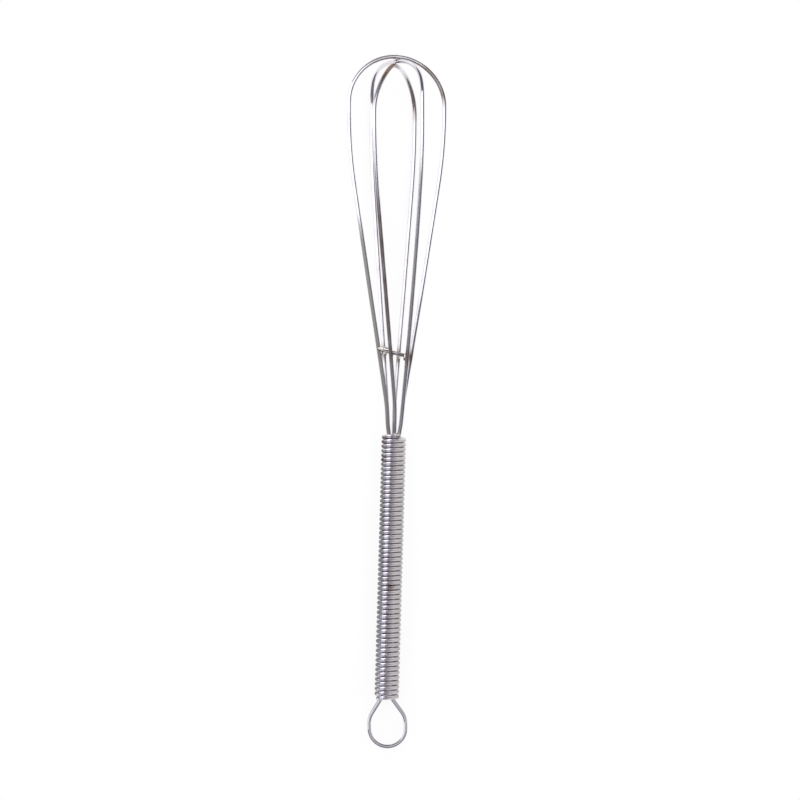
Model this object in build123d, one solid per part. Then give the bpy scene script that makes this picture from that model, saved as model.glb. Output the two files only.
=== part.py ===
from build123d import *
from math import atan, cos, pi, radians, sin, tan
import os

# A small dough whisk, all of steel wire. Three nested hoops make the balloon, their six
# legs are soldered to a neck ring and run down into a close-wound handle, and a wire eye
# comes out of the handle's other end.
# Lengths are millimetres and angles degrees. The whisk is drawn along +Y, with the tip of
# the balloon at the top and its photographed face towards +Z, and is then laid on the
# surface that it rests on, where the origin is under the middle of the whole whisk.

# Whole whisk
overall_length = 200.0      # tip of the balloon to the bottom of the eye
grip_length = 76.8          # the wound handle
eye_length = 14.0           # bottom of the eye to the end of the handle

# Balloon hoops, outermost first
hoop_names = ["hoop_outer", "hoop_middle", "hoop_inner"]
hoop_azimuths = [-2.5, 58.0, -65.0]     # each hoop's plane about the axis, from +X to +Z
hoop_wire = 1.2
wire_sides = 12             # flats that stand for round wire, here and in ring and eye
balloon_width = 28.8        # over the wires
balloon_lean = 1.1          # the balloon leans from the handle's line, towards -X
nest_clearance = 0.04       # between hoops where they cross at the tip
shoulder_drop = 12.3        # foot of the dome to the corner of each leg's bow
shoulder_run_share = 0.93   # the bow's length each side of its corner, of shoulder_drop

# Throat, where the legs draw together above the handle
throat_rise = 7.5           # end of the handle to the corner of the throat
throat_radius = 2.5         # axis to the middle of a leg
throat_twist = -27.5        # how far a leg has turned about the axis since the dome
throat_run_share = 0.4      # the throat bend's length each side of its corner
mouth_run_share = 0.2       # the same where the legs enter the handle, both of throat_rise

# Inside the handle
bundle_radius = 1.7         # axis to the middle of a leg
bore_clearance = 0.04       # legs to the inside of the coil
hoop_reach_share = 0.573    # how far down the handle the hoops' legs reach, of grip_length
meeting_gap = 1.0           # ends of the hoops' legs to ends of the eye's legs

# Handle coil, a six-sided tube with flats towards its neighbours
coil_wire = 0.935           # over the flats
coil_gap = 0.418            # between turns
coil_sides = 6
coil_facets = 12            # straight lengths in a turn
coil_azimuth = 99.0         # where the coil's lower end is cut, just left of the front
coil_gap_least = 0.4

# Neck ring, soldered inside the six legs
ring_wire = 1.1
ring_rise = 23.2            # end of the handle to the middle of the ring
ring_tilt = 13.0            # the ring's left side stands higher
ring_clearance = 0.04       # to the nearest leg

# Hanging eye
eye_wire = 1.2
eye_width = 11.7            # over the wire
eye_lean = 2.9              # the eye leans from the handle's line, towards +X
eye_shoulder_share = 0.636  # height of the eye's shoulder, of eye_length
eye_shoulder_run_share = 0.5    # the shoulder bend's length, of the side's straight part
eye_root_rise = 0.4         # end of the handle to the corner where the eye's legs spread
eye_root_run = 0.6          # that bend's length each side of its corner

# How closely the resting place is worked out
rest_samples = 600
rest_rounds = 8

# Sizes that follow from those above
mouth_height = eye_length + grip_length
hoop_end_height = mouth_height - hoop_reach_share * grip_length
throat_height = mouth_height + throat_rise
balloon_radius = (balloon_width - hoop_wire) / 2
dome_foot = overall_length - hoop_wire / 2 - balloon_radius

bore_radius = bundle_radius + hoop_wire / 2 + bore_clearance
coil_corner = coil_wire / 2 / cos(pi / coil_sides)
coil_radius = (bore_radius + coil_corner) / cos(pi / coil_facets)
coil_pitch = coil_wire + coil_gap
coil_foot = eye_length + coil_wire / 2
coil_steps = round((grip_length - coil_wire) / coil_pitch * coil_facets)

eye_leg_radius = bore_radius - bore_clearance - eye_wire / 2
eye_half = (eye_width - eye_wire) / 2
eye_bowl_height = eye_width / 2
eye_shoulder_height = eye_length * eye_shoulder_share
eye_root_height = eye_length + eye_root_rise
eye_end_height = hoop_end_height - meeting_gap

whisk_axis = Vector(0, 1, 0)


def around(radius, azimuth, height):
    """The point at a distance and an azimuth from the handle's axis, at a height."""
    turn = radians(azimuth)
    return Vector(radius * cos(turn), height, radius * sin(turn))


def leaning(point, height=mouth_height, lean=balloon_lean):
    """The point after a lean about a height on the handle's axis, the mouth for the balloon."""
    pivot = Vector(0, height, 0)
    return pivot + (point - pivot).rotate(Axis.Z, lean)


def bend_radius(before, corner, after, run):
    """The radius of a bend that starts and ends one run away from its corner."""
    turn = (corner - before).get_angle(after - corner)
    return run / tan(radians(turn) / 2)


def bent_wire(corners, runs):
    """A line through the corners, bent at each inner one over its run."""
    radii = []
    for index, run in enumerate(runs):
        radii.append(bend_radius(*corners[index:index + 3], run))
    return FilletPolyline(*corners, radius=radii)


def drawn(path, wire):
    """Wire along a path."""
    start = Plane(origin=path @ 0, z_dir=path % 0)
    return sweep(start * RegularPolygon(wire / 2, wire_sides), path=path).solid()


def hoop_corners(azimuth, drop):
    """The corners of one leg, from its end in the handle up to the foot of the dome."""
    twisted = azimuth + throat_twist
    return [
        around(bundle_radius, twisted, hoop_end_height),
        around(bundle_radius, twisted, mouth_height),
        around(throat_radius, twisted, throat_height),
        leaning(around(balloon_radius, azimuth, dome_foot - drop - shoulder_drop)),
        leaning(around(balloon_radius, azimuth, dome_foot - drop)),
    ]


def hoop_path(azimuth, drop):
    """One hoop: a leg, half a circle over the tip, and the leg across from the first."""
    runs = [
        mouth_run_share * throat_rise,
        throat_run_share * throat_rise,
        shoulder_run_share * shoulder_drop,
    ]
    near = hoop_corners(azimuth, drop)
    far = hoop_corners(azimuth + 180, drop)
    tip = leaning(around(0, 0, dome_foot - drop + balloon_radius))
    dome = ThreePointArc(near[-1], tip, far[-1])
    return Wire([*bent_wire(near, runs).edges(), *dome.edges(), *bent_wire(far, runs).edges()])


def leg_at(azimuth, height):
    """Where the straight part of the outer hoop's leg passes a height, and its lean."""
    foot, shoulder = hoop_corners(azimuth, 0)[2:4]
    leg = shoulder - foot
    return foot + leg * ((height - foot.Y) / leg.Y), leg.get_angle(whisk_axis)


def neck_ring():
    """A ring inside the legs, tilted, and shifted to where the tilt finds more room."""
    height = mouth_height + ring_rise
    right, right_lean = leg_at(hoop_azimuths[0], height)
    left, left_lean = leg_at(hoop_azimuths[0] + 180, height)
    lean = radians(right_lean + left_lean) / 2
    reach = (hoop_wire + ring_wire) / 2 + ring_clearance
    radius = (right - left).length / 2 - reach / cos(lean)
    shift = radius * sin(radians(ring_tilt)) * tan(lean)
    centre = (right + left) / 2 - Vector(shift, 0, 0)
    along = Vector(0, 0, 1)
    across = Vector(1, 0, 0).rotate(Axis.Z, balloon_lean - ring_tilt)
    section = Plane(origin=centre + across * radius, x_dir=across, z_dir=along)
    turn_axis = Axis(origin=centre, direction=along.cross(across))
    return revolve(section * RegularPolygon(ring_wire / 2, wire_sides), turn_axis).solid()


def coil_section(step):
    """The corners of the coil's wire at one step, as the wire climbs to the right."""
    azimuth = coil_azimuth - 360 * step / coil_facets
    height = coil_foot + coil_pitch * step / coil_facets
    centre = around(coil_radius, azimuth, height)
    outward = around(1, azimuth, 0)
    climb = atan(coil_pitch / (2 * pi * coil_radius))
    sideways = whisk_axis.cross(outward)
    across = whisk_axis * cos(climb) - sideways * sin(climb)
    corners = []
    for side in range(coil_sides):
        turn = 2 * pi * side / coil_sides
        corners.append(centre + (outward * cos(turn) + across * sin(turn)) * coil_corner)
    return corners


def coil_self_gap(sections):
    """The least distance between the corners of one turn and those of the next."""
    gaps = []
    for index in range(len(sections) - coil_facets):
        upper = sections[index + coil_facets]
        gaps.append(min((a - b).length for a in sections[index] for b in upper))
    return min(gaps)


def handle_coil(sections):
    """One unbroken tube of straight lengths, cut square at both ends."""
    rings = [Wire.make_polygon(corners, close=True) for corners in sections]
    return Solid.make_loft(rings, ruled=True)


def hanging_eye():
    """A round bowl whose sides bend in over a shoulder and run up inside the handle."""
    runs = [
        eye_root_run,
        (eye_shoulder_height - eye_bowl_height) * eye_shoulder_run_share,
    ]
    sides = []
    for azimuth in (0, 180):
        corners = [
            around(eye_leg_radius, azimuth, eye_end_height),
            around(eye_leg_radius, azimuth, eye_root_height),
            leaning(around(eye_half, azimuth, eye_shoulder_height), eye_length, eye_lean),
            leaning(around(eye_half, azimuth, eye_bowl_height), eye_length, eye_lean),
        ]
        sides.append(bent_wire(corners, runs))
    bottom = leaning(around(0, 0, eye_wire / 2), eye_length, eye_lean)
    bowl = ThreePointArc(sides[0] @ 1, bottom, sides[1] @ 1)
    path = Wire([*sides[0].edges(), *bowl.edges(), *sides[1].edges()])
    return drawn(path, eye_wire)


def resting_plane(hoop_points, coil_points):
    """The surface under the whisk: it touches a leg on each side, and the coil."""
    down = Vector(0, 0, -1)
    left = [point for point in hoop_points if point.X < 0]
    right = [point for point in hoop_points if point.X > 0]
    for _ in range(rest_rounds):
        feet = [
            max(left, key=lambda point: point.dot(down)) + down * (hoop_wire / 2),
            max(right, key=lambda point: point.dot(down)) + down * (hoop_wire / 2),
            max(coil_points, key=lambda point: point.dot(down)),
        ]
        down = (feet[1] - feet[0]).cross(feet[2] - feet[0]).normalized()
        if down.Z > 0:
            down = -down
    return Plane(origin=feet[2], x_dir=whisk_axis.cross(-down), z_dir=-down)


# Draw the pieces
pieces = {}
hoop_points = []
for index, name in enumerate(hoop_names):
    path = hoop_path(hoop_azimuths[index], index * (hoop_wire + nest_clearance))
    pieces[name] = drawn(path, hoop_wire)
    hoop_points += [path @ (sample / rest_samples) for sample in range(rest_samples + 1)]

sections = [coil_section(step) for step in range(coil_steps + 1)]
pieces["neck_ring"] = neck_ring()
pieces["handle_coil"] = handle_coil(sections)
pieces["hanging_eye"] = hanging_eye()

gap = coil_self_gap(sections)
print(f"coil: {coil_steps / coil_facets:.2f} turns, least gap to itself {gap:.3f} mm,",
      "enough" if gap > coil_gap_least else "too little")

# Lay the whisk down and put the origin under its middle
coil_points = [corner for corners in sections for corner in corners]
lay = resting_plane(hoop_points, coil_points).location.inverse()
laid = {name: lay * solid for name, solid in pieces.items()}
box = Compound(list(laid.values())).bounding_box()
middle = Location((-box.center().X, -box.center().Y, -box.min.Z))

os.makedirs("parts", exist_ok=True)
for name, solid in laid.items():
    export_step(middle * solid, f"parts/{name}.step")
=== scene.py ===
import bpy
import numpy as np
from mathutils import Matrix


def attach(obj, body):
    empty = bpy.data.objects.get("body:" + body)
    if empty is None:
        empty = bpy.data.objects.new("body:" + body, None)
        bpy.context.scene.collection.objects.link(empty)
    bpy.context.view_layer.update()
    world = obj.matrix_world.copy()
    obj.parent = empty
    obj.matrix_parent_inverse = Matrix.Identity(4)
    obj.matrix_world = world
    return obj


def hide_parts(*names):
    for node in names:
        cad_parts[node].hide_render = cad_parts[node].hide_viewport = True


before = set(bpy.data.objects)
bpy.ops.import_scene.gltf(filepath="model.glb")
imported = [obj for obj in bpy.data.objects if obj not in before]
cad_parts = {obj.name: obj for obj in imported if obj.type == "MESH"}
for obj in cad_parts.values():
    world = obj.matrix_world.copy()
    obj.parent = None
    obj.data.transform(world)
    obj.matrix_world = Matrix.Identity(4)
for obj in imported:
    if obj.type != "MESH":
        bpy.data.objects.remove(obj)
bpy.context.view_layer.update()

# A small wire whisk, lying on a pale floor and seen from straight above its face.
# The pieces are drawn in millimetres in the whisk's own axes: x across the face to the
# right, y up from the bottom of the eye, z out of the face. toFloor lays them in the frame.

millimetre = 0.001


def meshPoints(piece):
    # the corners of a piece's mesh as rows of x, y, z
    points = np.empty(len(piece.data.vertices) * 3)
    piece.data.vertices.foreach_get("co", points)
    return points.reshape(-1, 3)


def unit(vectors):
    # each row divided by its own length
    return vectors / np.linalg.norm(vectors, axis=-1, keepdims=True)


def longestWay(points):
    # the direction in which the points spread most, from the largest axis of their covariance
    return np.linalg.eigh(np.cov((points - points.mean(0)).T))[1][:, 2]


# The handle's coil gives the way up, which has no part along the frame's x, and the eye is
# widest across the face
coilPoints = meshPoints(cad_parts["handle_coil"])
eyePoints = meshPoints(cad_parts["hanging_eye"])
whiskUp = longestWay(coilPoints)
whiskUp = unit(np.array([0.0, whiskUp[1], whiskUp[2]])) * np.sign(whiskUp[1])
eyeAcross = eyePoints - np.outer(eyePoints @ whiskUp, whiskUp)
whiskRight = longestWay(eyeAcross)
whiskRight = unit(whiskRight - whiskUp * (whiskRight @ whiskUp)) * np.sign(whiskRight[0])
whiskFace = np.cross(whiskRight, whiskUp)
coilMiddle = coilPoints.mean(0)
eyeBottom = coilMiddle + whiskUp * ((eyePoints - coilMiddle) @ whiskUp).min()
whiskAxes = np.array([whiskRight, whiskUp, whiskFace])


def toFloor(points):
    # whisk axes and millimetres to the frame's axes and metres
    return eyeBottom + points @ whiskAxes * millimetre


def fromFloor(points):
    # the way back from the frame to the whisk's own axes
    return (points - eyeBottom) @ whiskAxes.T / millimetre


handleTop = fromFloor(coilPoints)[:, 1].max()
handleFoot = fromFloor(coilPoints)[:, 1].min()
handleLength = handleTop - handleFoot
print(f"frame read: handle from {handleFoot:.2f} to {handleTop:.2f} mm above the eye's bottom")


# Lines and tubes

def around(radius, azimuth, height):
    # points at a distance and an azimuth (degrees, from the right to the face) about the handle
    turn = np.radians(azimuth)
    parts = np.broadcast_arrays(radius * np.cos(turn), height, radius * np.sin(turn))
    return np.stack(parts, -1).astype(float)


def roundedLine(corners, runs, steps=24):
    # straight lines between the corners, and at each corner a parabola that leaves one line
    # and joins the next one run away: (1-t)^2 start + 2t(1-t) corner + t^2 end
    corners = np.asarray(corners, float)
    t = np.linspace(0, 1, steps)[:, None]
    line = [corners[:1]]
    for index, run in enumerate(runs):
        before, corner, after = corners[index:index + 3]
        start = corner + unit(before - corner) * run
        end = corner + unit(after - corner) * run
        line.append((1 - t) ** 2 * start + 2 * t * (1 - t) * corner + t ** 2 * end)
    line.append(corners[-1:])
    return np.concatenate(line)


def evenLine(points, spacing):
    # the same line with its points a given distance apart
    along = np.r_[0, np.cumsum(np.linalg.norm(np.diff(points, axis=0), axis=1))]
    keep = np.r_[True, np.diff(along) > 1e-9]
    count = int(np.ceil(along[-1] / spacing)) + 1
    places = np.linspace(0, along[-1], count)
    return np.stack([np.interp(places, along[keep], points[keep, k]) for k in range(3)], 1)


def softLine(points, spacing, reach):
    # a running mean with a bell-shaped weight, so that the bend changes gradually; the line
    # is carried on past its ends by turning it about them, which keeps the ends in place
    half = int(np.ceil(3 * reach / spacing))
    before = 2 * points[0] - points[half:0:-1]
    after = 2 * points[-1] - points[-2:-half - 2:-1]
    longer = np.concatenate([before, points, after])
    weight = np.exp(-0.5 * (np.arange(-half, half + 1) * spacing / reach) ** 2)
    weight /= weight.sum()
    return np.stack([np.convolve(longer[:, k], weight, "valid") for k in range(3)], 1)


def slowNoise(count, spacing, wavelength, seed):
    # smooth seeded noise along a line, between about -1 and 1
    random = np.random.default_rng(seed)
    knots = random.uniform(-1, 1, int(count * spacing / wavelength) + 4)
    place = np.arange(count) * spacing / wavelength
    share = place % 1
    share = share * share * (3 - 2 * share)
    whole = place.astype(int)
    return knots[whole] * (1 - share) + knots[whole + 1] * share


def addMesh(name, points, faces, body="root"):
    # a smooth mesh laid in the frame, which rides on a body
    mesh = bpy.data.meshes.new(name)
    mesh.from_pydata(toFloor(points).tolist(), [], faces)
    mesh.validate()
    mesh.polygons.foreach_set("use_smooth", np.ones(len(mesh.polygons), bool))
    mesh.update()
    piece = bpy.data.objects.new(name, mesh)
    bpy.context.scene.collection.objects.link(piece)
    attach(piece, body)
    return piece


def ringFaces(rings, sides, closed):
    # quads between neighbouring rings, each wound so that it faces outwards
    ring = np.arange(rings if closed else rings - 1)[:, None]
    side = np.arange(sides)[None, :]
    nextRing = (ring + 1) % rings
    nextSide = (side + 1) % sides
    corners = [ring * sides + side, ring * sides + nextSide,
               nextRing * sides + nextSide, nextRing * sides + side]
    return np.stack(corners, -1).reshape(-1, 4)


wireCut = {"smaller": 0.25, "steeper": 0.6}     # the worn edge of a cut, as shares of the radius


def wireTube(name, line, across, wire, sides, closed=False):
    # a round wire along a line: centre + wire/2 * (cos a * across + sin a * third way), where
    # the third way is square to the wire and to across; open ends are cut with a worn edge
    radius = np.full(len(line), wire / 2)
    if closed:
        along = np.roll(line, -1, 0) - np.roll(line, 1, 0)
    else:
        along = np.gradient(line, axis=0)
    along = unit(along)
    across = unit(np.cross(along, np.cross(across, along)))
    third = np.cross(along, across)
    turn = np.linspace(0, 2 * np.pi, sides, endpoint=False)
    length = np.r_[0, np.cumsum(np.linalg.norm(np.diff(line, axis=0), axis=1))]
    if not closed:
        # one more ring at each end, smaller, closes the worn edge down to the flat of the cut
        small = 1 - wireCut["smaller"]
        line = np.concatenate([line[:1], line, line[-1:]])
        line[1] += along[0] * radius[0] * wireCut["smaller"] * wireCut["steeper"]
        line[-2] -= along[-1] * radius[-1] * wireCut["smaller"] * wireCut["steeper"]
        across = np.concatenate([across[:1], across, across[-1:]])
        third = np.concatenate([third[:1], third, third[-1:]])
        radius = np.r_[radius[0] * small, radius, radius[-1] * small]
        length = np.r_[length[0], length, length[-1]]
    ring = (np.cos(turn)[None, :, None] * across[:, None]
            + np.sin(turn)[None, :, None] * third[:, None])
    points = line[:, None] + radius[:, None, None] * ring
    rings = len(line)
    faces = ringFaces(rings, sides, closed).tolist()
    if not closed:
        faces += [list(range(sides))[::-1], list(range((rings - 1) * sides, rings * sides))]
    piece = addMesh(name, points.reshape(-1, 3), faces)
    # where each point would be if the wire were pulled straight, for patterns along it
    straight = np.empty((rings, sides, 3))
    straight[..., 0] = radius[:, None] * np.cos(turn)
    straight[..., 1] = radius[:, None] * np.sin(turn)
    straight[..., 2] = length[:, None]
    pulled = piece.data.attributes.new("pulledStraight", "FLOAT_VECTOR", "POINT")
    pulled.data.foreach_set("vector", (straight.reshape(-1, 3) * millimetre).ravel())
    return piece


# Hoops

hoops = {
    "names": ["hoop_outer", "hoop_middle", "hoop_inner"],
    "azimuths": [-2.5, 58.0, -65.0],    # each hoop's plane, at the dome
    "drops": [0.0, 1.24, 2.48],         # each dome sits under the one before
    "leans": [1.1, 1.1, 1.46],          # degrees to the left, from the handle's mouth
    "rightBows": [0.2, 0.5, 0.0],       # how far the right leg bows out half way up
    "skews": [0.75, 0.0, 0.0],          # how much fuller the left shoulder is than the right
    "pushes": [(0.0, 0.0), (-1.55, 1.35), (1.0, -0.3)],     # left and right shoulder, towards +x
    "pushShape": 2.6,                   # makes sin^2 a * |cos a| about 1 at its highest
    "seeds": [11, 12, 13],
    "wire": 1.2,
    "domeRadius": 13.76,                # to the middle of the wire
    "domeFoot": 185.63,                 # where the outer hoop's half circle begins
    "domeSteps": 90,
    "shoulderDrop": 12.3,               # from the dome's foot to the corner of the leg's bow
    "shoulderRun": 11.4,
    "throatRise": 7.5,                  # where the legs draw together above the handle
    "throatRadius": 2.5,
    "throatTwist": -27.5,
    "throatRun": 3.0,
    "collarRise": 1.9,                  # a knee just above the handle
    "collarRadius": 2.15,
    "collarRun": 0.8,
    "bundleRadius": 1.6,                # inside the handle, to the middle of a leg
    "mouthRun": 0.6,
    "endHeight": 46.8,                  # where the legs end inside the handle
    "wander": 0.03,                     # how far hand-bent wire strays from its line
    "wanderWave": 17.0,
    "wanderEnds": 4,                    # it fades over the first and last part in so many
    "soft": 1.2,                        # over how long a stretch the bends are evened out
    "spacing": 0.5,
    "sides": 24,
}


def leaned(points, lean, height):
    # turned in the plane of the face, about a height on the handle's axis
    turn = np.radians(lean)
    rise = points[..., 1] - height
    leaning = points.copy()
    leaning[..., 0] = points[..., 0] * np.cos(turn) - rise * np.sin(turn)
    leaning[..., 1] = height + points[..., 0] * np.sin(turn) + rise * np.cos(turn)
    return leaning


def hoopLine(azimuth, drop, lean, rightBow, skew, push, seed):
    # leg, half circle over the tip, and leg: the legs' corners lie on circles round the
    # handle's axis that are wide at the dome, narrow at the throat and turned by the twist.
    # With a as the angle over the dome, from its right foot, the skew changes its radius by
    # -skew * sin a * cos a, and a push moves a shoulder by pushShape * push * sin^2 a *
    # |cos a|. A bow moves the right leg by rightBow * sin(pi * rise)
    h = hoops
    legs = []
    for way in (azimuth, azimuth + 180):
        twisted = way + h["throatTwist"]
        low = around(h["bundleRadius"], twisted, np.array([h["endHeight"], handleTop]))
        collar = around(h["collarRadius"], twisted, handleTop + h["collarRise"])
        throat = around(h["throatRadius"], twisted, handleTop + h["throatRise"])
        foot = h["domeFoot"] - drop
        high = around(h["domeRadius"], way, np.array([foot - h["shoulderDrop"], foot]))
        high = leaned(high, lean, handleTop)
        corners = np.concatenate([low, [collar, throat], high])
        runs = [h["mouthRun"], h["collarRun"], h["throatRun"], h["shoulderRun"]]
        legs.append(roundedLine(corners, runs))
    over = np.radians(np.linspace(0, 180, h["domeSteps"])[1:-1])
    reach = h["domeRadius"] - skew * np.sin(over) * np.cos(over)
    dome = around(reach * np.cos(over), azimuth, foot + reach * np.sin(over))
    pushed = np.where(dome[:, 0] < 0, *push)
    dome[:, 0] += h["pushShape"] * pushed * np.sin(over) ** 2 * np.abs(np.cos(over))
    line = np.concatenate([legs[0], leaned(dome, lean, handleTop), legs[1][::-1]])
    line = softLine(evenLine(line, h["spacing"]), h["spacing"], h["soft"])
    rise = np.clip((line[:, 1] - handleTop) / (h["domeFoot"] - handleTop), 0, 1)
    line[:, 0] += rightBow * np.sin(np.pi * rise) * (line[:, 0] > 0)
    free = np.clip(rise * h["wanderEnds"], 0, 1) * np.clip((1 - rise) * h["wanderEnds"], 0, 1)
    for k in (0, 2):
        stray = slowNoise(len(line), h["spacing"], h["wanderWave"], seed + k)
        line[:, k] += h["wander"] * free * stray
    return line


hoopLines = {}
hoopPieces = {}
for index, name in enumerate(hoops["names"]):
    own = ("azimuths", "drops", "leans", "rightBows", "skews", "pushes", "seeds")
    line = hoopLine(*[hoops[key][index] for key in own])
    flat = around(1.0, hoops["azimuths"][index] + 90, 0.0)
    piece = wireTube(name.replace("hoop", "hoop_wire"), line, flat, hoops["wire"],
                     hoops["sides"])
    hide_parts(name)
    hoopLines[name] = line
    hoopPieces[name] = piece
print("hoops bent:", ", ".join(hoopPieces))


# Handle

coil = {
    "wire": 1.22,
    "outerRadius": 3.462,       # over the wire
    "startAzimuth": 150.0,      # the lower end is cut at the left
    "turns": 56.257,            # so the upper end is cut to the right of the front
    "looserBelow": 0.47,        # share of the turns, from the handle's foot
    "looserFade": 0.12,         # share over which the pitch changes
    "looser": 0.045,            # how much wider apart the lower turns lie
    "stepsPerTurn": 40,
    "sides": 16,
    "wider": 1.035,             # across the face, against its depth
    "heightWander": 0.02,       # how unevenly it is wound, in millimetres
    "heightWave": 2.3,          # and over how many turns
    "radiusWander": 0.015,
    "radiusWave": 1.7,
    "seeds": [5, 6],
    "evenEnd": 30,              # the first part in so many is wound evenly
}


def handleLine():
    # a helix: the azimuth falls by a turn for each pitch climbed, and the pitch is a little
    # wider over the lower part, where only the eye's two legs fill the handle
    c = coil
    count = int(round(c["turns"] * c["stepsPerTurn"])) + 1
    share = np.linspace(0, 1, count)
    step = np.clip((share - c["looserBelow"]) / c["looserFade"] + 0.5, 0, 1)
    pitch = 1 + c["looser"] * (1 - step * step * (3 - 2 * step))
    climb = np.r_[0, np.cumsum(pitch[1:] + pitch[:-1])]
    room = handleLength - c["wire"]
    height = handleFoot + c["wire"] / 2 + room * climb / climb[-1]
    spacing = 1 / c["stepsPerTurn"]
    uneven = slowNoise(count, spacing, c["heightWave"], c["seeds"][0])
    uneven *= np.clip(share * c["evenEnd"], 0, 1)
    height = np.minimum(height + c["heightWander"] * uneven, handleTop - c["wire"] / 2)
    sunk = (1 + slowNoise(count, spacing, c["radiusWave"], c["seeds"][1])) / 2
    radius = c["outerRadius"] - c["wire"] / 2 - c["radiusWander"] * sunk
    azimuth = c["startAzimuth"] - 360 * c["turns"] * share
    line = around(radius, azimuth, height)
    line[:, 0] *= c["wider"]
    return line, around(1.0, azimuth, 0.0)


coilLine, coilOut = handleLine()
coilPiece = wireTube("handle_winding", coilLine, coilOut, coil["wire"], coil["sides"])
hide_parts("handle_coil")
print("handle wound:", coil["turns"], "turns")


# Hanging eye

eye = {
    "wire": 1.2,
    "width": 11.7,
    "lean": 3.4,                # degrees to the right, from the handle's foot
    "shoulderHeight": 8.904,    # where its sides bend in towards the handle
    "shoulderRun": 1.56,
    "rootRise": 0.4,            # where its legs spread, above the handle's foot
    "rootRun": 0.6,
    "endHeight": 45.8,          # where its legs end inside the handle
    "bowlSteps": 60,
    "soft": 0.35,
    "spacing": 0.25,
    "sides": 24,
}


def eyeLine():
    # leg, side, bowl, side and leg in the plane of the face; the bowl is half a circle, and
    # all below the handle leans
    e = eye
    half = (e["width"] - e["wire"]) / 2
    bowlHeight = e["width"] / 2
    sides = []
    for way in (1, -1):
        inside = np.array([[way * hoops["bundleRadius"], e["endHeight"], 0],
                           [way * hoops["bundleRadius"], handleFoot + e["rootRise"], 0]])
        below = np.array([[way * half, e["shoulderHeight"], 0], [way * half, bowlHeight, 0]])
        corners = np.concatenate([inside, leaned(below, e["lean"], handleFoot)])
        sides.append(roundedLine(corners, [e["rootRun"], e["shoulderRun"]]))
    under = np.radians(np.linspace(0, -180, e["bowlSteps"])[1:-1])
    bowl = np.stack([half * np.cos(under), bowlHeight + half * np.sin(under), 0 * under], 1)
    bowl = leaned(bowl, e["lean"], handleFoot)
    line = evenLine(np.concatenate([sides[0], bowl, sides[1][::-1]]), e["spacing"])
    return softLine(line, e["spacing"], e["soft"])


eyePiece = wireTube("eye_wire", eyeLine(), np.array([0.0, 0.0, 1.0]), eye["wire"],
                    eye["sides"])
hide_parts("hanging_eye")
print("eye bent")


# Neck ring and its solder

ring = {"wire": 1.1, "steps": 160, "sides": 20}


def ringLine():
    # a circle with the centre, the plane and the size of the CAD ring
    points = fromFloor(meshPoints(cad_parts["neck_ring"]))
    centre = (points.max(0) + points.min(0)) / 2
    ways = np.linalg.eigh(np.cov((points - centre).T))[1]
    flat, first = ways[:, 0], ways[:, 2]
    second = np.cross(flat, first)
    reach = np.hypot((points - centre) @ first, (points - centre) @ second).max()
    turn = np.linspace(0, 2 * np.pi, ring["steps"], endpoint=False)[:, None]
    radius = reach - ring["wire"] / 2
    return centre + radius * (np.cos(turn) * first + np.sin(turn) * second), flat


ringPath, ringFlat = ringLine()
ringPiece = wireTube("neck_ring_wire", ringPath, ringFlat, ring["wire"], ring["sides"],
                     closed=True)
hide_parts("neck_ring")

solder = {
    "width": 1.15,
    "length": 2.3,
    "sag": 0.35,                # the drop hangs a little below the ring
    "beadWidth": 1.35,
    # a run of solder along the ring, over one leg and up to the next
    "beadEnds": [[-5.45, 115.35, 1.95], [-1.55, 114.75, 4.6]],
    # a dab laid across the winding's upper end, which it holds: its width, length and place
    "mouthSize": [1.45, 1.9],
    "mouthPlace": [0.95, 90.3, 3.2],
    "fullerBelow": 0.3,
    "ripples": [0.07, 0.05],    # of two and of three waves round a drop
    "rows": 20,
    "columns": 24,
}


def solderDrop(name, middle, up, out, width, length, seed):
    # an egg: rings of radius width/2 * sqrt(1-h^2) * (1 - fullerBelow*h) at heights h from
    # -1 to 1, with a slow ripple round it
    s = solder
    tall = np.cos(np.linspace(np.pi, 0, s["rows"]))[1:-1]
    turn = np.linspace(0, 2 * np.pi, s["columns"], endpoint=False)
    two, three = s["ripples"]
    ripple = 1 + two * np.sin(2 * turn + seed) + three * np.sin(3 * turn + 2 * seed)
    wide = width / 2 * np.sqrt(1 - tall ** 2) * (1 - s["fullerBelow"] * tall)
    third = np.cross(up, out)
    points = (middle + tall[:, None, None] * length / 2 * up
              + wide[:, None, None] * ripple[None, :, None]
              * (np.cos(turn)[None, :, None] * third + np.sin(turn)[None, :, None] * out))
    rows, columns = len(tall), s["columns"]
    poles = [middle - length / 2 * up, middle + length / 2 * up]
    points = np.concatenate([points.reshape(-1, 3), poles])
    faces = ringFaces(rows, columns, False).tolist()
    column = np.arange(columns)
    after = (column + 1) % columns
    low, high = rows * columns, rows * columns + 1
    faces += np.stack([after, column, np.full(columns, low)], 1).tolist()
    top = (rows - 1) * columns
    faces += np.stack([top + column, top + after, np.full(columns, high)], 1).tolist()
    piece = addMesh(name, points, faces)
    return piece


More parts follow.
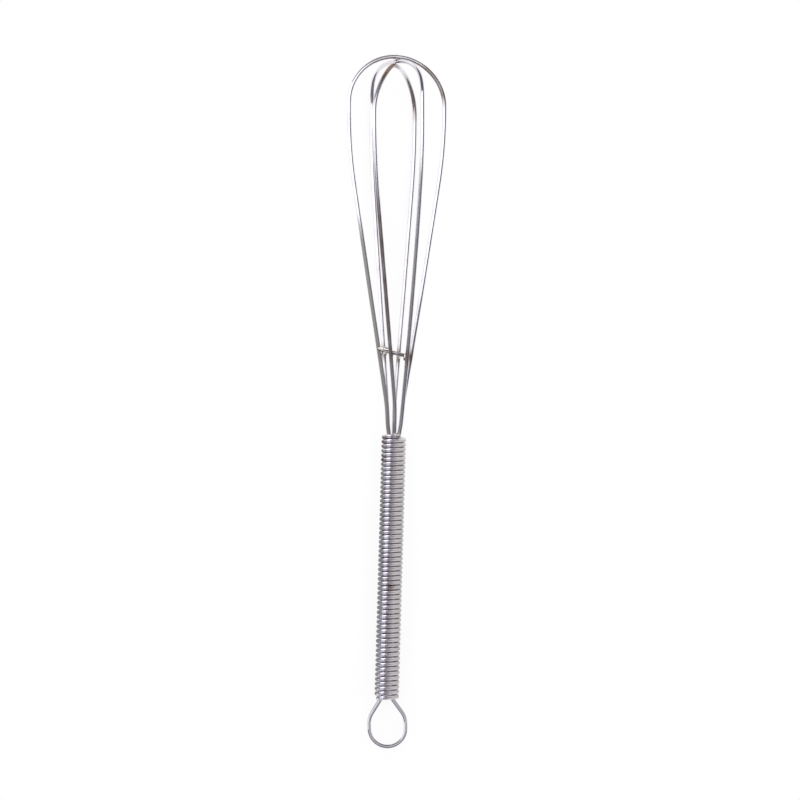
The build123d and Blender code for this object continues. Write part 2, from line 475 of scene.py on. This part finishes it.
solderPieces = []
jointPlaces = []
ringCentre = ringPath.mean(0)
for name, line in hoopLines.items():
    crown = line[:, 1].argmax()
    for side, leg in (("a", line[:crown]), ("b", line[crown:])):
        apart = np.linalg.norm(leg[:, None] - ringPath[None], axis=2)
        legIndex, ringIndex = np.unravel_index(apart.argmin(), apart.shape)
        middle = (leg[legIndex] + ringPath[ringIndex]) / 2
        up = unit(leg[legIndex + 1] - leg[legIndex - 1])
        up = up * np.sign(up[1])
        out = unit(np.cross(up, np.cross(middle - ringCentre, up)))
        pieceName = name.replace("hoop", "solder") + "_" + side
        solderPieces.append(solderDrop(pieceName, middle - solder["sag"] * up, up, out,
                                       solder["width"], solder["length"], len(solderPieces)))
        jointPlaces.append(middle)
beadEnds = np.array(solder["beadEnds"])
run = beadEnds[0] - beadEnds[1]
front = unit(np.cross(run, np.cross(beadEnds.mean(0) - ringCentre, run)))
solderPieces.append(solderDrop("solder_bead", beadEnds.mean(0), unit(run), front,
                               solder["beadWidth"], np.linalg.norm(run), 7))
solderPieces.append(solderDrop("solder_mouth", np.array(solder["mouthPlace"]),
                               np.array([-1.0, 0.0, 0.0]), np.array([0.0, 0.0, 1.0]),
                               *solder["mouthSize"], 8))
print("solder run in:", len(solderPieces), "drops")


# Finishes

def linear(code):
    # an sRGB hex colour as the linear values that the shaders use
    value = np.array([int(code[k:k + 2], 16) for k in (1, 3, 5)]) / 255
    value = np.where(value <= 0.04045, value / 12.92, ((value + 0.055) / 1.055) ** 2.4)
    return (*value.tolist(), 1.0)


def emptyTree(owner):
    # the node tree of a material or a world, with nothing in it
    owner.use_nodes = True
    owner.node_tree.nodes.clear()
    return owner.node_tree


def node(tree, kind, settings=(), **inputs):
    # adds a node; an input is a value or the output of another node, and is named by its
    # socket's name, or by i and its number where several sockets share a name
    made = tree.nodes.new(kind)
    for key, value in dict(settings).items():
        setattr(made, key, value)
    for key, value in inputs.items():
        socket = made.inputs[int(key[1:])] if key[0] == "i" and key[1:].isdigit() else \
            made.inputs[key.replace("_", " ")]
        if isinstance(value, bpy.types.NodeSocket):
            tree.links.new(value, socket)
        else:
            socket.default_value = value
    return made


chrome = {
    "bright": "#F0EEF3",
    "dull": "#DAD6DC",
    "filmAndShadeBrown": "#6E4622",          # brown film left by soldering heat and flux, also laid on as painted shade
    "paintedMattColour": "#A6A4A0",     # matt grey, laid on as painted shade where the marks say
    "roughLow": 0.06,
    "roughHigh": 0.13,
    "paintedMattRough": 0.4,           # how much rougher it is there
    "paintedMattMetal": 0.45,          # and how much of it still reflects as metal
    "filmAndShadeMost": 0.9,
    "patch": 6.0,               # millimetres between bright and dull stretches
    "patchRange": (0.35, 0.7),  # the noise values that turn from bright to dull
    "drawLine": 0.12,           # drawing lines, coarser than the real 0.02 mm so that they show
    "drawRange": (0.3, 0.7),
    "drawStretch": 0.03,        # a line's width against its length along the wire
    "bumpDepth": 0.006,
    "bumpStrength": 0.35,
}


def chromedWire(name, options):
    # Bright-drawn steel wire, chrome plated: a hard, slightly blue mirror, with faint lines
    # along the wire from the drawing die, duller stretches where the plating is thin, and a
    # brown film near the heat of the solder. Where a wire's marks say so, the same brown is laid
    # on as painted shade, and a matt grey as painted shade on the thin wires and as a painted
    # sheen on the winding
    material = bpy.data.materials.new(name)
    tree = emptyTree(material)
    place = node(tree, "ShaderNodeAttribute",
                 {"attribute_name": "pulledStraight"}).outputs["Vector"]
    filmAndPaintedShade = node(tree, "ShaderNodeAttribute", {"attribute_name": "filmAndPaintedShade"}).outputs["Fac"]
    paintedMattTone = node(tree, "ShaderNodeAttribute", {"attribute_name": "paintedMattTone"}).outputs["Fac"]
    patches = node(tree, "ShaderNodeTexNoise", Vector=place, Detail=3.0,
                   Scale=1 / (options["patch"] * millimetre)).outputs["Fac"]
    drawn = node(tree, "ShaderNodeMapping", Vector=place,
                 Scale=(1.0, 1.0, options["drawStretch"])).outputs["Vector"]
    lines = node(tree, "ShaderNodeTexNoise", Vector=drawn, Detail=2.0,
                 Scale=1 / (options["drawLine"] * millimetre)).outputs["Fac"]
    share = node(tree, "ShaderNodeMapRange", Value=patches, From_Min=options["patchRange"][0],
                 From_Max=options["patchRange"][1]).outputs[0]
    metal = node(tree, "ShaderNodeMix", {"data_type": "RGBA"}, Factor=share,
                 i6=linear(options["bright"]), i7=linear(options["dull"])).outputs[2]
    # heat film round the soldered joints, and painted shade in the same brown along marked
    # stretches and spots
    filmAndShadeShare = node(tree, "ShaderNodeMath", {"operation": "MULTIPLY"}, i0=filmAndPaintedShade, i1=patches)
    filmAndShadeShare = node(tree, "ShaderNodeMapRange", Value=filmAndShadeShare.outputs[0], From_Max=0.5,
                     To_Max=options["filmAndShadeMost"]).outputs[0]
    colour = node(tree, "ShaderNodeMix", {"data_type": "RGBA"}, Factor=filmAndShadeShare, i6=metal,
                  i7=linear(options["filmAndShadeBrown"])).outputs[2]
    # the painted matt tone: painted shade on the thin wires, a painted sheen on the winding
    colour = node(tree, "ShaderNodeMix", {"data_type": "RGBA"}, Factor=paintedMattTone, i6=colour,
                  i7=linear(options["paintedMattColour"])).outputs[2]
    rough = node(tree, "ShaderNodeMapRange", Value=lines, From_Min=options["drawRange"][0],
                 From_Max=options["drawRange"][1], To_Min=options["roughLow"],
                 To_Max=options["roughHigh"]).outputs[0]
    rough = node(tree, "ShaderNodeMath", {"operation": "MULTIPLY_ADD"}, i0=paintedMattTone,
                 i1=options["paintedMattRough"], i2=rough).outputs[0]
    metallic = node(tree, "ShaderNodeMapRange", Value=paintedMattTone, To_Min=1.0,
                    To_Max=options["paintedMattMetal"]).outputs[0]
    bump = node(tree, "ShaderNodeBump", Height=lines, Strength=options["bumpStrength"],
                Distance=options["bumpDepth"] * millimetre).outputs["Normal"]
    surface = node(tree, "ShaderNodeBsdfPrincipled", Base_Color=colour, Metallic=metallic,
                   Roughness=rough, Normal=bump).outputs[0]
    node(tree, "ShaderNodeOutputMaterial", Surface=surface)
    return material


tin = {
    "bright": "#ECE9E4",
    "dark": "#7A6656",          # burnt flux
    "grain": 0.6,               # millimetres from one patch to the next
    "grainRange": (0.3, 0.5),   # the noise values that turn from dark to bright
    "roughLow": 0.14,
    "roughHigh": 0.32,
    "bumpDepth": 0.02,
    "bumpStrength": 0.2,
}


def solderTin(options):
    # Tin solder, run in with a torch and left as it froze: soft grey, a little lumpy, with
    # burnt flux in brown patches
    material = bpy.data.materials.new("tin_solder")
    tree = emptyTree(material)
    place = node(tree, "ShaderNodeTexCoord").outputs["Object"]
    grain = node(tree, "ShaderNodeTexNoise", Vector=place, Detail=4.0,
                 Scale=1 / (options["grain"] * millimetre)).outputs["Fac"]
    share = node(tree, "ShaderNodeMapRange", Value=grain, From_Min=options["grainRange"][0],
                 From_Max=options["grainRange"][1]).outputs[0]
    colour = node(tree, "ShaderNodeMix", {"data_type": "RGBA"}, Factor=share,
                  i6=linear(options["dark"]), i7=linear(options["bright"])).outputs[2]
    rough = node(tree, "ShaderNodeMapRange", Value=grain, To_Min=options["roughHigh"],
                 To_Max=options["roughLow"]).outputs[0]
    bump = node(tree, "ShaderNodeBump", Height=grain, Strength=options["bumpStrength"],
                Distance=options["bumpDepth"] * millimetre).outputs["Normal"]
    surface = node(tree, "ShaderNodeBsdfPrincipled", Base_Color=colour, Metallic=1.0,
                   Roughness=rough, Normal=bump).outputs[0]
    node(tree, "ShaderNodeOutputMaterial", Surface=surface)
    return material


# How far the wires carry painted shade and a painted matt tone: brown and grey stretches and
# spots that stand in for darker reflections, and a painted sheen on the winding's right side.
# A stretch is a side of the balloon (-1 left, 1 right), the heights that it runs from and to,
# and how deep it is, from 0 to 1. A spot is a place in the whisk's axes and its size
marks = {
    "paintedShadeFade": 3.5,           # millimetres over which a stretch of painted shade fades out
    "paintedMattFade": 8.0,
    "jointReach": 1.6,          # how far the film spreads from a soldered joint on the legs
    "ringReach": 0.7,           # and on the ring
    "paintedShade": {
        "hoop_outer": [(1, 187.0, 198.0, 0.75), (-1, 196.0, 204.0, 0.3)],
        "hoop_middle": [],
        "hoop_inner": [(-1, 191.0, 202.0, 1.0), (-1, 118.0, 157.0, 0.6), (1, 183.0, 193.0, 0.5)],
        # on the winding, spots of painted shade: a dark gap near the middle and dark patches at
        # the left near its top
        "winding": [([0.4, 46.9, 3.4], 0.8), ([-3.4, 88.5, 1.0], 1.2), ([-3.4, 83.5, 1.0], 1.0)],
    },
    "paintedMattTone": {
        "hoop_outer": [(-1, 88.0, 150.0, 0.9), (1, 188.0, 197.0, 0.6), (-1, 197.0, 208.0, 0.4)],
        "hoop_middle": [(1, 88.0, 170.0, 0.25)],
        "hoop_inner": [(-1, 88.0, 175.0, 0.25), (-1, 186.0, 194.0, 0.5), (1, 184.0, 193.0, 0.4)],
        "ring": [(-1, 100.0, 130.0, 0.5), (1, 100.0, 130.0, 0.5)],
        "winding": [(1, 5.0, 100.0, 0.5)],
    },
}


def deepest(points, stretches, fade):
    # for each point the deepest stretch that it lies on: the depth times a ramp of the given
    # length at both heights, times a ramp of 2 mm from one side of the leaning balloon's
    # middle to the other
    depths = np.zeros(len(points))
    lean = np.tan(np.radians(hoops["leans"][0]))
    middle = -lean * np.clip(points[:, 1] - handleTop, 0, None)
    for side, low, high, depth in stretches:
        rising = np.clip((points[:, 1] - low) / fade + 0.5, 0, 1)
        falling = np.clip((high - points[:, 1]) / fade + 0.5, 0, 1)
        onSide = np.clip((points[:, 0] - middle) * side / 2 + 0.5, 0, 1)
        depths = np.maximum(depths, depth * rising * falling * onSide)
    return depths


def addMark(piece, name, depths):
    # one value for each point, which the material reads by its name
    piece.data.attributes.new(name, "FLOAT", "POINT").data.foreach_set("value", depths)


def addFilmAndPaintedShade(piece, spots, reach, stretches=()):
    # a stretch of painted shade, or a bell round each spot, which is heat film round a soldered
    # joint or painted shade on the winding: exp(-1/2 (distance / (size * reach))^2)
    points = fromFloor(meshPoints(piece))
    filmAndPaintedShade = deepest(points, stretches, marks["paintedShadeFade"])
    for place, size in spots:
        far = np.linalg.norm((points - place) / size, axis=1)
        filmAndPaintedShade = np.maximum(filmAndPaintedShade, np.exp(-0.5 * (far / reach) ** 2))
    addMark(piece, "filmAndPaintedShade", filmAndPaintedShade)


def addPaintedMattTone(piece, stretches):
    # how far the wire is painted matt: painted shade on the thin wires, a painted sheen on the
    # winding
    addMark(piece, "paintedMattTone", deepest(fromFloor(meshPoints(piece)), stretches, marks["paintedMattFade"]))


hoopChrome = chromedWire("chromed_spring_wire", chrome)
# the winding's wire; its painted matt tone is a light grey that the marks lay on the right side
# of the handle as a painted sheen
windingChrome = {
    **chrome,
    "bright": "#EAE8EE",
    "dull": "#CFCBD1",
    "paintedMattColour": "#E4E2DE",
    "roughLow": 0.1,
    "roughHigh": 0.18,
}
coilChrome = chromedWire("chromed_winding_wire", windingChrome)
tinSolder = solderTin(tin)
joints = [(place, 1.0) for place in jointPlaces]
# each hoop gets heat film round the soldered joints, and painted shade and a painted matt tone
# along its stretches in marks
for name, piece in hoopPieces.items():
    piece.data.materials.append(hoopChrome)
    addFilmAndPaintedShade(piece, joints, marks["jointReach"], marks["paintedShade"][name])
    addPaintedMattTone(piece, marks["paintedMattTone"][name])
# the ring gets heat film at its joints and a painted matt tone as painted shade all round
ringPiece.data.materials.append(hoopChrome)
addFilmAndPaintedShade(ringPiece, joints, marks["ringReach"])
addPaintedMattTone(ringPiece, marks["paintedMattTone"]["ring"])
eyePiece.data.materials.append(hoopChrome)
coilPiece.data.materials.append(coilChrome)
# the winding's spots are painted shade, and its matt right side is a painted sheen
addFilmAndPaintedShade(coilPiece, marks["paintedShade"]["winding"], 1.0)
addPaintedMattTone(coilPiece, marks["paintedMattTone"]["winding"])
for piece in solderPieces:
    piece.data.materials.append(tinSolder)
print("finishes on")


# Floor, light and camera

def addPanel(name, corners):
    # a flat sheet that belongs to the studio and not to the whisk
    mesh = bpy.data.meshes.new(name)
    mesh.from_pydata(corners, [], [[0, 1, 2, 3]])
    panel = bpy.data.objects.new(name, mesh)
    bpy.context.scene.collection.objects.link(panel)
    return panel


paper = {
    "halfSide": 3.0,            # metres, as all lengths here are
    "level": -0.00002,          # a hair below the whisk
    "colour": "#F2F2F2",
    "shadowReach": 0.008,
    "shadowDepth": 0.1,
    "shadowFrom": 0.96,         # how open the paper is where the shadow begins
    "shadowSamples": 12,
    "gripLow": -0.088,          # beside the handle the metal sees the paper darker, as a painted shade that only glossy rays show, and darker on the left than on the right
    "gripHigh": -0.010,         # darker on the left than on the right
    "gripHalf": 0.01,           # it changes from left to right over twice this
    "leftShown": 0.3,
    "rightShown": 0.62,
}
edge, level = paper["halfSide"], paper["level"]
floor = addPanel("floor", [(-edge, -edge, level), (edge, -edge, level),
                           (edge, edge, level), (-edge, edge, level)])


def whitePaper(options):
    # White paper sweep: matt, and lit so evenly that it shows pure white to the eye and to
    # the metal, with a painted shadow where the whisk comes close and keeps the light off it,
    # and a painted shade in the paper beside the handle that only the metal sees, darker on the
    # left than on the right
    material = bpy.data.materials.new("white_paper")
    tree = emptyTree(material)
    path = node(tree, "ShaderNodeLightPath")
    seen = node(tree, "ShaderNodeMath", {"operation": "MAXIMUM"},
                i0=path.outputs["Is Camera Ray"], i1=path.outputs["Is Glossy Ray"]).outputs[0]
    openness = node(tree, "ShaderNodeAmbientOcclusion", {"samples": options["shadowSamples"]},
                    Distance=options["shadowReach"]).outputs["AO"]
    bright = node(tree, "ShaderNodeMapRange", Value=openness, From_Min=0.0,
                  From_Max=options["shadowFrom"], To_Min=1 - options["shadowDepth"],
                  To_Max=1.0).outputs[0]
    matt = node(tree, "ShaderNodeBsdfDiffuse", Color=linear(options["colour"])).outputs[0]
    # painted shade that only the metal sees: in glossy rays the paper beside the handle is
    # dimmed, more on the left than on the right
    place = node(tree, "ShaderNodeTexCoord").outputs["Object"]
    apart = node(tree, "ShaderNodeSeparateXYZ", Vector=place)
    sideways = node(tree, "ShaderNodeMapRange", Value=apart.outputs["X"],
                    From_Min=-options["gripHalf"], From_Max=options["gripHalf"],
                    To_Min=options["leftShown"], To_Max=options["rightShown"])
    above = node(tree, "ShaderNodeMath", {"operation": "GREATER_THAN"}, i0=apart.outputs["Y"],
                 i1=options["gripLow"])
    below = node(tree, "ShaderNodeMath", {"operation": "LESS_THAN"}, i0=apart.outputs["Y"],
                 i1=options["gripHigh"])
    beside = node(tree, "ShaderNodeMath", {"operation": "MULTIPLY"}, i0=above.outputs[0],
                  i1=below.outputs[0])
    beside = node(tree, "ShaderNodeMath", {"operation": "MULTIPLY"}, i0=beside.outputs[0],
                  i1=path.outputs["Is Glossy Ray"])
    shade = node(tree, "ShaderNodeMix", {"data_type": "FLOAT"}, Factor=beside.outputs[0], i2=1.0,
                 i3=sideways.outputs[0]).outputs[0]
    bright = node(tree, "ShaderNodeMath", {"operation": "MULTIPLY"}, i0=bright,
                  i1=shade).outputs[0]
    lit = node(tree, "ShaderNodeEmission", Color=linear("#FFFFFF"), Strength=bright).outputs[0]
    shown = node(tree, "ShaderNodeMixShader", i0=seen, i1=matt, i2=lit).outputs[0]
    node(tree, "ShaderNodeOutputMaterial", Surface=shown)
    return material


floor.data.materials.append(whitePaper(paper))


def lampGroup(name, pieces):
    # the pieces that a lamp shines on, as a flag or a barn door would have it
    group = bpy.data.collections.new(name)
    for piece in pieces:
        group.objects.link(piece)
    return group


thinWires = [*hoopPieces.values(), ringPiece, *solderPieces]
groups = {
    "thin": lampGroup("lit_thin", [*thinWires, floor]),
    "winding": lampGroup("lit_winding", [coilPiece, floor]),
    "eye": lampGroup("lit_eye", [eyePiece]),
}
lamps = {
    # group, centre, way it shines, width across, length along y, radiance, colour; metres
    "ceiling_box": ["thin", (-0.0925, 0.1245, 0.25), (0, 0, -1), 0.415, 0.221, 1.35, "#FFFFFF"],
    "left_wall_box": ["thin", (-0.3, 0.1245, 0.125), (1, 0, 0), 0.25, 0.221, 1.35, "#FFFFFF"],
    "ceiling_edge": ["thin", (-0.0925, -0.033, 0.25), (0, 0, -1), 0.415, 0.094, 0.2, "#FFF4E4"],
    "far_ceiling": ["thin", (-0.0925, -0.34, 0.25), (0, 0, -1), 0.415, 0.52, 0.08, "#FFF4E4"],
    "grip_key_box": ["winding", (-0.378, 0.45, 0.12), (8, -4.5, -3), 0.5, 0.4, 2.7, "#FFFFFF"],
    "left_fill_box": ["winding", (-0.22, -0.25, 0.16), (8, 0, -6), 0.2, 0.6, 0.9, "#E2DEEC"],
    "grip_ceiling": ["winding", (0.22, 0, 0.26), (0, 0, -1), 0.76, 1.6, 0.19, "#FCF6EE"],
    "right_fill_box": ["winding", (0.21, 0, 0.14), (-8, 0, -6), 0.26, 1.6, 0.27, "#FBF6F2"],
    "right_low_box": ["winding", (0.28, 0, 0.09), (-9.5, 0, -3), 0.18, 1.6, 0.3, "#FBF6F2"],
    "right_tip_fill": ["winding", (0.2, 0.5, 0.2), (0, -10, -3.5), 0.36, 0.36, 0.9, "#FBF6F2"],
    "right_eye_fill": ["winding", (0.2, -0.6, 0.2), (0, 10, -3.5), 0.36, 0.36, 0.7, "#FBF6F2"],
    "eye_ceiling": ["eye", (-0.02, -0.09, 0.25), (0, 0, -1), 0.34, 0.36, 0.45, "#FFFAF4"],
    "eye_left_box": ["eye", (-0.25, -0.04, 0.14), (9, 0, -3), 0.26, 0.22, 1.0, "#FFFFFF"],
    "eye_right_box": ["eye", (0.25, -0.02, 0.12), (-9, 0, -3), 0.24, 0.26, 0.4, "#FFFAF0"],
}
for name, (group, place, shines, width, length, radiance, colour) in lamps.items():
    data = bpy.data.lights.new(name, "AREA")
    data.shape = "RECTANGLE"
    data.size, data.size_y = width, length
    data.color = linear(colour)[:3]
    data.energy = radiance * np.pi * width * length
    lamp = bpy.data.objects.new(name, data)
    back = unit(-np.array(shines, float))
    wide = unit(np.cross((0.0, 1.0, 0.0), back))
    turned = Matrix((wide, np.cross(back, wide), back)).transposed().to_4x4()
    lamp.matrix_world = Matrix.Translation(place) @ turned
    lamp.visible_camera = False
    lamp.light_linking.receiver_collection = groups[group]
    bpy.context.scene.collection.objects.link(lamp)

roomColour = "#63616F"          # the dim room that the metal mirrors between the lamps
world = bpy.data.worlds.new("studio")
bpy.context.scene.world = world
tree = emptyTree(world)
room = node(tree, "ShaderNodeBackground", Color=linear(roomColour), Strength=1.0).outputs[0]
node(tree, "ShaderNodeOutputWorld", Surface=room)

camera = {
    "distance": 1.27,           # metres, straight above the face
    "pictureSide": 800,
    "metresPerPixel": 0.0002881,
    "mouthAcross": 394,         # where the handle's mouth lies in the picture
    "mouthDown": 433.6,
    "handleLean": 1.606,        # degrees that the handle leans to the right
}
lean = np.radians(camera["handleLean"])
pictureUp = whiskUp * np.cos(lean) - whiskRight * np.sin(lean)
pictureRight = whiskRight * np.cos(lean) + whiskUp * np.sin(lean)
half = camera["pictureSide"] / 2
mouth = toFloor(np.array([0.0, handleTop, 0.0]))
aim = (mouth + pictureRight * (half - camera["mouthAcross"]) * camera["metresPerPixel"]
       + pictureUp * (camera["mouthDown"] - half) * camera["metresPerPixel"])
pictureWidth = camera["pictureSide"] * camera["metresPerPixel"]
lens = bpy.data.cameras.new("camera")
lens.lens = lens.sensor_width * camera["distance"] / pictureWidth
lens.clip_start, lens.clip_end = 0.01, 20.0
viewpoint = bpy.data.objects.new("camera", lens)
turned = Matrix((pictureRight, pictureUp, whiskFace)).transposed().to_4x4()
viewpoint.matrix_world = Matrix.Translation(aim + whiskFace * camera["distance"]) @ turned
bpy.context.scene.collection.objects.link(viewpoint)
bpy.context.scene.camera = viewpoint
bpy.context.scene.view_settings.view_transform = "Standard"
print("floor, light and camera placed")
